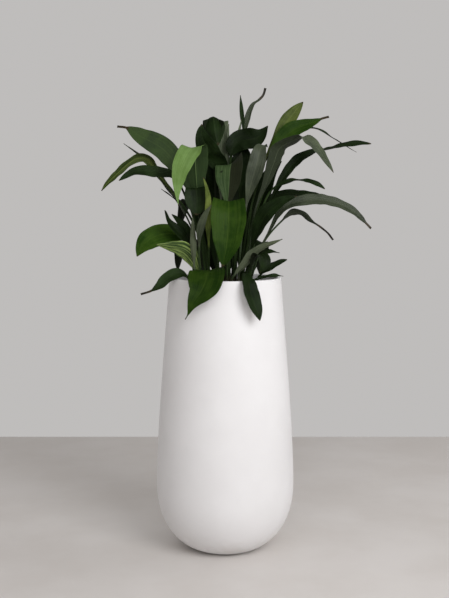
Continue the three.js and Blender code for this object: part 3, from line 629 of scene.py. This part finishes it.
class Shader:
    """Short ways to add and join the nodes of one material."""

    def __init__(self, name):
        self.material = bpy.data.materials.new(name)
        self.material.use_nodes = True
        self.tree = self.material.node_tree
        self.tree.nodes.clear()
        self.surface = self.add("ShaderNodeBsdfPrincipled")
        output = self.add("ShaderNodeOutputMaterial")
        self.tree.links.new(self.surface.outputs["BSDF"], output.inputs["Surface"])

    def add(self, kind, **settings):
        node = self.tree.nodes.new(kind)
        for key, value in settings.items():
            setattr(node, key, value)
        return node

    def put(self, socket, value):
        """Links a socket to the value, or sets it where the value is a number or a colour."""
        if isinstance(value, bpy.types.NodeSocket):
            self.tree.links.new(value, socket)
        elif isinstance(value, tuple) and socket.type == "RGBA":
            socket.default_value = (*value, 1)
        else:
            socket.default_value = value

    def math(self, operation, *values):
        node = self.add("ShaderNodeMath", operation=operation)
        for socket, value in zip(node.inputs, values):
            self.put(socket, value)
        return node.outputs[0]

    def product(self, a, b):
        return self.math("MULTIPLY", a, b)

    def vector(self, x, y, z):
        node = self.add("ShaderNodeCombineXYZ")
        for socket, value in zip(node.inputs, (x, y, z)):
            self.put(socket, value)
        return node.outputs[0]

    def split(self, vector):
        node = self.add("ShaderNodeSeparateXYZ")
        self.put(node.inputs[0], vector)
        return node.outputs

    def kept(self, name):
        """The three numbers of a vector kept on the mesh."""
        return self.split(self.add("ShaderNodeAttribute", attribute_name=name).outputs["Vector"])

    def position(self):
        return self.add("ShaderNodeTexCoord").outputs["Object"]

    def noise(self, vector, scale, detail=3, roughness=0.55):
        node = self.add("ShaderNodeTexNoise")
        self.put(node.inputs["Vector"], vector)
        for key, value in (("Scale", scale), ("Detail", detail), ("Roughness", roughness)):
            self.put(node.inputs[key], value)
        return node.outputs["Fac"]

    def ramp(self, value, low, high, to_low=0, to_high=1):
        """The value's place between two limits, smoothly, brought to another range."""
        node = self.add("ShaderNodeMapRange", interpolation_type="SMOOTHSTEP")
        for socket, number in zip(node.inputs, (value, low, high, to_low, to_high)):
            self.put(socket, number)
        return node.outputs[0]

    def mix(self, factor, a, b, blend="MIX"):
        node = self.add("ShaderNodeMix", data_type="RGBA", blend_type=blend)
        for index, value in zip(MIX_INPUTS, (factor, a, b)):
            self.put(node.inputs[index], value)
        return node.outputs[MIX_RESULT]

    def set(self, key, value):
        self.put(self.surface.inputs[key], value)

    def bump(self, height, distance, strength):
        node = self.add("ShaderNodeBump")
        for key, value in (("Height", height), ("Distance", distance), ("Strength", strength)):
            self.put(node.inputs[key], value)
        self.set("Normal", node.outputs[0])


STREAK_BANDS = 7  # how closely streaks, fine lines and veins lie across a blade
FINE_LINES = 46
VEINS = 48

DRY_TIP = (0.045, 0.034, 0.018)
DEAD_TAIL = (0.022, 0.019, 0.013)
SHEATH = (0.030, 0.026, 0.013)
# grey that a blade is greyed towards as a painted sheen
SHEEN_GREY = (0.060, 0.066, 0.055)
STALK_DEEP = (0.014, 0.028, 0.008)
STALK_LIT = (0.034, 0.060, 0.017)
COAT = ((0.790, 0.782, 0.785), (0.820, 0.814, 0.818))
COAT_SPECK = (0.62, 0.59, 0.56)
COAT_DUST = (0.55, 0.51, 0.47)
SOIL = ((0.014, 0.010, 0.007), (0.050, 0.034, 0.022))
SOIL_FLECK = (0.13, 0.10, 0.07)
FLOOR = ((0.645, 0.61, 0.58), (0.70, 0.67, 0.645))

# a leaf's look by its tone: colours of the upper face in shade and in light, of the lower face
# (its own colour, in several looks darkened as painted shade) and of the streaks; share of
# streaks, roughness, strength of the highlight, width of the pale midrib; `banded` streaks the
# lower face too, and the shaded half's colour is painted shade on the half to the right of the midrib,
# where it differs
LEAF_LOOKS = {
    # dark: near-black colours that are partly the leaf's own deep green and partly painted shade of the
    # crowded inside of the plant
    "dark": dict(deep=(0.004, 0.009, 0.002), lit=(0.011, 0.023, 0.006), under=(0.014, 0.019, 0.010),
                 streak=(0.026, 0.044, 0.014), streaks=0.22),
    "green": dict(deep=(0.009, 0.031, 0.002), lit=(0.028, 0.064, 0.006), under=(0.020, 0.034, 0.010),
                  streak=(0.055, 0.098, 0.014), streaks=0.26, sheen=0.04),
    # bright: the pale upper face is partly painted light falling on and through the blade, and the dark
    # lower face is painted shade
    "bright": dict(deep=(0.115, 0.205, 0.046), lit=(0.160, 0.272, 0.076), under=(0.014, 0.026, 0.010),
                   streak=(0.230, 0.355, 0.130), streaks=0.25, gloss=0.42, sheen=0.08),
    "olive": dict(deep=(0.036, 0.055, 0.009), lit=(0.085, 0.114, 0.024), under=(0.045, 0.062, 0.020),
                  streak=(0.150, 0.190, 0.050), streaks=0.30, sheen=0.07),
    "pale": dict(deep=(0.038, 0.054, 0.026), lit=(0.085, 0.110, 0.060), under=(0.070, 0.086, 0.048),
                 streak=(0.190, 0.225, 0.140), streaks=0.45, gloss=0.44, sheen=0.20),
    "striped": dict(deep=(0.026, 0.056, 0.014), lit=(0.052, 0.100, 0.028), under=(0.034, 0.066, 0.020),
                    streak=(0.380, 0.520, 0.150), streaks=0.95, gloss=0.45, sheen=0.12, banded=True),
    "streaked": dict(deep=(0.012, 0.026, 0.006), lit=(0.030, 0.050, 0.012), under=(0.040, 0.052, 0.026),
                     streak=(0.190, 0.250, 0.060), streaks=0.45, gloss=0.45, rib_width=0.30),
    "slate": dict(deep=(0.018, 0.026, 0.013), lit=(0.048, 0.062, 0.034), under=(0.015, 0.021, 0.010),
                  streak=(0.085, 0.104, 0.058), streaks=0.34, gloss=0.40, sheen=0.22),
    "halved": dict(deep=(0.022, 0.045, 0.013), lit=(0.046, 0.080, 0.028), under=(0.016, 0.024, 0.010),
                   streak=(0.110, 0.165, 0.072), streaks=0.30, painted_shade_half=(0.018, 0.020, 0.011)),
}


def leaf_material(name, deep, lit, under, streak, streaks, gloss=0.36, sheen=0.05,
                  rib_width=0.05, banded=False, painted_shade_half=None):
    """A satin leaf with patches, streaks and fine veins along it, and a lower face of its own, partly
    darkened as painted shade.
    The stalk is green, brown at the soil, and the tip and tail are dry."""
    shader = Shader(name)
    u, place, face = shader.kept("leaf_place")
    _, height, seed = shader.kept("leaf_size")
    brightness, painted_sheen, _ = shader.kept("leaf_shade")
    spot = shader.position()

    patches = shader.ramp(shader.noise(spot, 16, detail=4), 0.38, 0.64)
    lengthwise = shader.vector(shader.product(u, STREAK_BANDS), shader.product(place, 1.3), seed)
    bands = shader.ramp(shader.noise(lengthwise, 1.6, detail=4, roughness=0.6), 0.44, 0.62)
    fine = shader.vector(shader.product(u, FINE_LINES), shader.product(place, 2.5), seed)
    lines = shader.noise(fine, 1, detail=2)
    wander = shader.math("MULTIPLY_ADD", shader.noise(lengthwise, 0.8), 0.05, u)
    swing = shader.math("SINE", shader.product(wander, VEINS))
    veins = shader.math("POWER", shader.math("ABSOLUTE", swing), 6)
    rib = shader.ramp(shader.math("ABSOLUTE", u), 0.0, rib_width, 1, 0)

    upper = shader.mix(patches, deep, lit)
    upper = shader.mix(shader.product(bands, streaks), upper, streak)
    if painted_shade_half:
        # painted shade: the half to the right of the midrib darkened, as if facing away from the light
        upper = shader.mix(shader.ramp(u, -0.08, 0.02, 1, 0), upper, painted_shade_half)
    upper = shader.mix(shader.product(veins, 0.16), upper, streak)
    upper = shader.mix(shader.product(rib, 0.5), upper, streak)
    # lower face: its own colour, in several looks darkened as painted shade
    lower = shader.mix(shader.product(veins, 0.25), under, deep)
    lower = shader.mix(shader.product(rib, 0.45), lower, streak)
    if banded:
        lower = shader.mix(shader.product(bands, streaks), lower, streak)
    is_lower = shader.ramp(face, -0.2, 0.2, 1, 0)
    blade = shader.mix(is_lower, upper, lower)
    # the leaf's brightness, partly its own tone and partly painted light and shade, with fine lines
    shade = shader.product(brightness, shader.ramp(lines, 0.3, 0.7, 0.86, 1.12))
    blade = shader.mix(1.0, blade, shade, blend="MULTIPLY")
    # painted sheen: the blade greyed as by a broad reflection
    blade = shader.mix(painted_sheen, blade, SHEEN_GREY)

    stalk = shader.mix(shader.ramp(lines, 0.35, 0.65), STALK_DEEP, STALK_LIT)
    stalk = shader.mix(shader.ramp(height, 4, 30, 1, 0), stalk, SHEATH)
    colour = shader.mix(shader.ramp(place, -0.04, 0.06, 1, 0), blade, stalk)
    ragged = shader.math("MULTIPLY_ADD", shader.noise(spot, 90), 0.03, place)
    colour = shader.mix(shader.ramp(ragged, 0.985, 1.012), colour, DRY_TIP)
    colour = shader.mix(shader.ramp(place, 1.0, 1.15), colour, DEAD_TAIL)
    shader.set("Base Color", colour)

    grain = shader.noise(spot, 240, detail=3)
    rough = shader.ramp(grain, 0.3, 0.7, gloss - 0.05, gloss + 0.09)
    shader.set("Roughness", shader.math("MULTIPLY_ADD", is_lower, 0.16, rough))
    shader.set("Specular IOR Level", sheen)
    relief = shader.math("MULTIPLY_ADD", veins, 0.6, shader.product(grain, 0.5))
    shader.bump(relief, 0.00025, 0.7)
    return shader.material


def planter_material():
    """A matt white mineral coat: very fine grain, faint clouds and a little dust low down."""
    shader = Shader("planter_coat")
    spot = shader.position()
    height = shader.split(spot)[2]
    clouds = shader.noise(spot, 5, detail=4)
    specks = shader.noise(spot, 420, detail=2)
    colour = shader.mix(shader.ramp(clouds, 0.35, 0.65), *COAT)
    colour = shader.mix(shader.ramp(specks, 0.66, 0.76, 0, 0.10), colour, COAT_SPECK)
    settled = shader.ramp(shader.noise(spot, 22, detail=4), 0.4, 0.65)
    dust = shader.product(shader.ramp(height, 0.0, 0.09, 0.35, 0), settled)
    shader.set("Base Color", shader.mix(dust, colour, COAT_DUST))
    shader.set("Roughness", shader.ramp(shader.noise(spot, 60), 0.3, 0.7, 0.46, 0.58))
    grain = shader.noise(spot, 700, detail=2)
    relief = shader.math("MULTIPLY_ADD", grain, 0.4, shader.noise(spot, 70, detail=3))
    shader.bump(relief, 0.0004, 0.35)
    return shader.material


def soil_material():
    """Dark moist soil with paler flecks."""
    shader = Shader("moist_soil")
    spot = shader.position()
    coarse = shader.noise(spot, 130, detail=5)
    flecks = shader.ramp(shader.noise(spot, 260), 0.62, 0.70, 0, 0.7)
    colour = shader.mix(shader.ramp(coarse, 0.35, 0.65), *SOIL)
    shader.set("Base Color", shader.mix(flecks, colour, SOIL_FLECK))
    shader.set("Roughness", shader.ramp(coarse, 0.3, 0.7, 0.8, 0.97))
    shader.bump(shader.noise(spot, 380, detail=5), 0.0012, 0.9)
    return shader.material


def floor_material():
    """A plain pale floor with faint clouds."""
    shader = Shader("pale_floor")
    clouds = shader.noise(shader.position(), 3, detail=6)
    shader.set("Base Color", shader.mix(shader.ramp(clouds, 0.3, 0.7), *FLOOR))
    shader.set("Roughness", 0.7)
    return shader.material


# ---- stage, light and camera, in metres ------------------------------------------

FLOOR_FRONT, FLOOR_BACK, FLOOR_SIDE = -4.2, 1.34, 3.6

AMBIENT_FRONT = (0.260, 0.250, 0.246)
AMBIENT_BACK = (0.520, 0.508, 0.500)
AMBIENT_SPAN = (-0.7, 0.5)  # the Y of the directions where one ends and the other begins

# place, size, watts and colour
LIGHTS = {
    "key": ((1.62, -2.68, 2.15), 1.8, 73, (0.985, 0.985, 1.0)),
    "front_fill": ((-0.3, -3.2, 2.4), 2.0, 26, (1.0, 0.99, 0.99)),
    "side_fill": ((2.6, 0.9, 1.2), 1.6, 7, (1.0, 0.99, 1.0)),
}
LIT_POINT = (0, 0, 0.75)

FOCAL_LENGTH = 60
CAMERA_PLACE = (-0.002, -2.835, 1.0)
CAMERA_PITCH = -5.6


def make_floor():
    corners = [(-FLOOR_SIDE, FLOOR_FRONT, 0), (FLOOR_SIDE, FLOOR_FRONT, 0),
               (FLOOR_SIDE, FLOOR_BACK, 0), (-FLOOR_SIDE, FLOOR_BACK, 0)]
    mesh = bpy.data.meshes.new("floor")
    mesh.from_pydata(corners, [], [(0, 1, 2, 3)])
    mesh.materials.append(floor_material())
    floor = bpy.data.objects.new("floor", mesh)
    bpy.context.collection.objects.link(floor)


def add_light(name, place, size, power, colour):
    """A square soft light that faces the plant."""
    data = bpy.data.lights.new(name, "AREA")
    data.size, data.energy, data.color = size, power, colour
    light = bpy.data.objects.new(name, data)
    light.location = place
    towards = np.array(LIT_POINT) - place
    tilt = math.acos(-towards[2] / np.linalg.norm(towards))
    light.rotation_euler = (tilt, 0, math.atan2(-towards[0], towards[1]))
    bpy.context.collection.objects.link(light)


def soft_room():
    """An even light from all round, brighter from behind the plant than from in front."""
    world = bpy.data.worlds.new("soft_room")
    world.use_nodes = True
    tree = world.node_tree
    direction = tree.nodes.new("ShaderNodeTexCoord").outputs["Generated"]
    parts = tree.nodes.new("ShaderNodeSeparateXYZ")
    tree.links.new(direction, parts.inputs[0])
    spread = tree.nodes.new("ShaderNodeMapRange")
    tree.links.new(parts.outputs["Y"], spread.inputs[0])
    for socket, number in zip(spread.inputs[1:], (*AMBIENT_SPAN, 0, 1)):
        socket.default_value = number
    mix = tree.nodes.new("ShaderNodeMix")
    mix.data_type = "RGBA"
    factor, front, back = (mix.inputs[index] for index in MIX_INPUTS)
    tree.links.new(spread.outputs[0], factor)
    front.default_value = (*AMBIENT_FRONT, 1)
    back.default_value = (*AMBIENT_BACK, 1)
    tree.links.new(mix.outputs[MIX_RESULT], tree.nodes["Background"].inputs["Color"])
    return world


def make_stage():
    make_floor()
    bpy.context.scene.world = soft_room()
    for name, light in LIGHTS.items():
        add_light(name, *light)


def make_camera():
    data = bpy.data.cameras.new("camera")
    data.lens = FOCAL_LENGTH
    camera = bpy.data.objects.new("camera", data)
    camera.location = CAMERA_PLACE
    camera.rotation_euler = (math.radians(90 + CAMERA_PITCH), 0, 0)
    bpy.context.collection.objects.link(camera)
    bpy.context.scene.camera = camera


# ---- the plant -------------------------------------------------------------------


def main():
    make_pot(planter_material())
    soil = soil_material()
    make_soil(soil)
    make_crumbs(soil)
    looks = {tone: leaf_material(f"{tone}_leaf", **look) for tone, look in LEAF_LOOKS.items()}
    for number, leaf in enumerate(LEAVES, 1):
        make_leaf(number, leaf, looks[leaf["tone"]])
    make_stage()
    make_camera()
    bpy.context.scene.view_settings.view_transform = "Standard"
    bpy.context.view_layer.update()


main()
